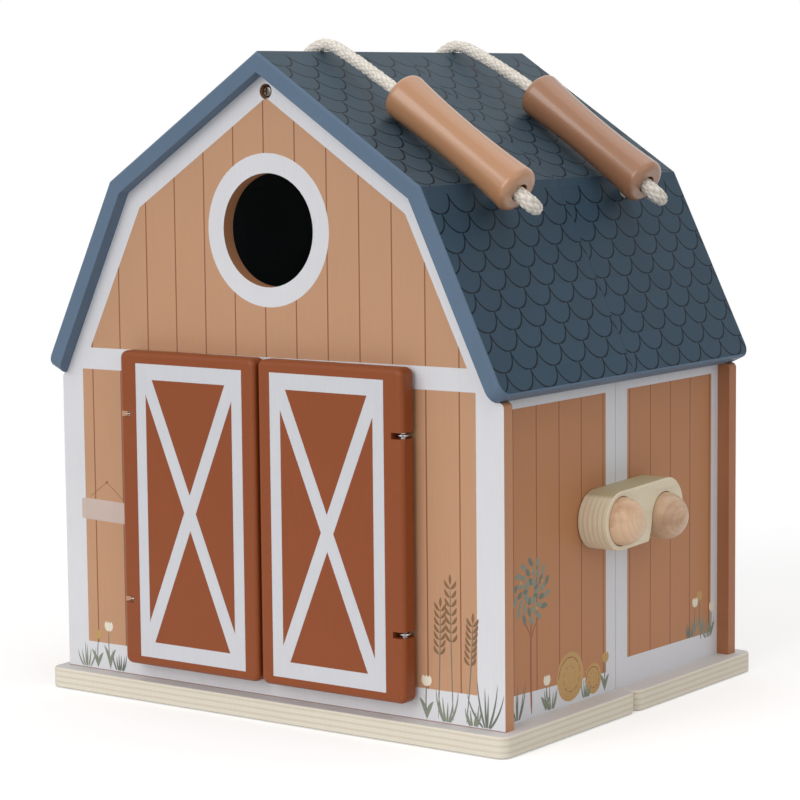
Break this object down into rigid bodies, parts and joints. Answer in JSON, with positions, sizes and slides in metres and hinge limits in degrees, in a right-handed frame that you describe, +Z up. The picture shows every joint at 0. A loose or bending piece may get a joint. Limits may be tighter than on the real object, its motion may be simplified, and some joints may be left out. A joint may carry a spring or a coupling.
{
  "type": "toy barn",
  "caption": "Gambrel-roofed wooden toy barn in two halves, with hinged double doors, a round window, a turn latch and rope carrying handles.",
  "frame": {"origin": "middle of the base's underside, on the seam between the two halves", "axes": "+X right along the gable front seen from outside, +Y from the doors to the back gable, +Z up"},
  "size_m": [0.321, 0.25, 0.3507],
  "materials": {
    "wall_paint": "matt tan paint with white trims on plywood",
    "roof_paint": "matt slate blue-grey paint on plywood",
    "door_paint": "matt rust paint with white frame and cross braces on plywood",
    "bare_plywood": "pale sanded plywood",
    "latch_plywood": "sanded plywood with its plies showing on the edge",
    "turned_wood": "turned hardwood, satin",
    "rope": "off-white braided cotton cord",
    "steel": "zinc-plated steel",
    "brass": "satin brass"
  },
  "bodies": {
    "barn": {"back_base": "bare_plywood", "back_gable": "wall_paint", "back_gable_screw": "steel", "back_hinge_leaves": "brass", "back_hinge_pads": "bare_plywood", "back_hinge_screws": "steel", "back_latch_peg": "turned_wood", "back_loft_floor": "bare_plywood", "back_ridge_beam": "bare_plywood", "back_roof_lower_left": "roof_paint", "back_roof_lower_right": "roof_paint", "back_roof_upper_left": "roof_paint", "back_roof_upper_right": "roof_paint", "back_rope": "rope", "back_rope_knots": "rope", "back_side_left": "wall_paint", "back_side_right": "wall_paint", "door_left_screw_eyes": "steel", "door_right_screw_eyes": "steel", "front_base": "bare_plywood", "front_gable": "wall_paint", "front_gable_screw": "steel", "front_hinge_leaves": "brass", "front_hinge_pads": "bare_plywood", "front_hinge_screws": "steel", "front_latch_peg": "turned_wood", "front_loft_floor": "bare_plywood", "front_ridge_beam": "bare_plywood", "front_roof_lower_left": "roof_paint", "front_roof_lower_right": "roof_paint", "front_roof_upper_left": "roof_paint", "front_roof_upper_right": "roof_paint", "front_rope": "rope", "front_rope_knots": "rope", "front_side_left": "wall_paint", "front_side_right": "wall_paint", "hinge_pins": "steel"},
    "door_left": {"door_left": "door_paint", "door_left_pins": "steel"},
    "door_right": {"door_right": "door_paint", "door_right_pins": "steel"},
    "latch": {"latch_block": "latch_plywood"},
    "handle_front": {"front_handle": "turned_wood"},
    "handle_back": {"back_handle": "turned_wood"}
  },
  "joints": [
    {"name": "door_left_hinge", "type": "hinge", "parent": "barn", "child": "door_left", "pos_m": [-0.0888, -0.12095, 0], "axis": [0, 0, -1], "range_deg": [0, 165]},
    {"name": "door_right_hinge", "type": "hinge", "parent": "barn", "child": "door_right", "pos_m": [0.0888, -0.12095, 0], "axis": [0, 0, 1], "range_deg": [0, 165]},
    {"name": "latch_turn", "type": "hinge", "parent": "barn", "child": "latch", "pos_m": [0.1367, -0.022, 0.104], "axis": [1, 0, 0], "range_deg": [0, 170]},
    {"name": "handle_front_slide", "type": "slide", "parent": "barn", "child": "handle_front", "axis": [-0.8328, 0.0368, 0.5524], "range_m": [0, 0.006]},
    {"name": "handle_back_slide", "type": "slide", "parent": "barn", "child": "handle_back", "axis": [-0.8309, 0.0756, 0.5512], "range_m": [0, 0.006]}
  ]
}
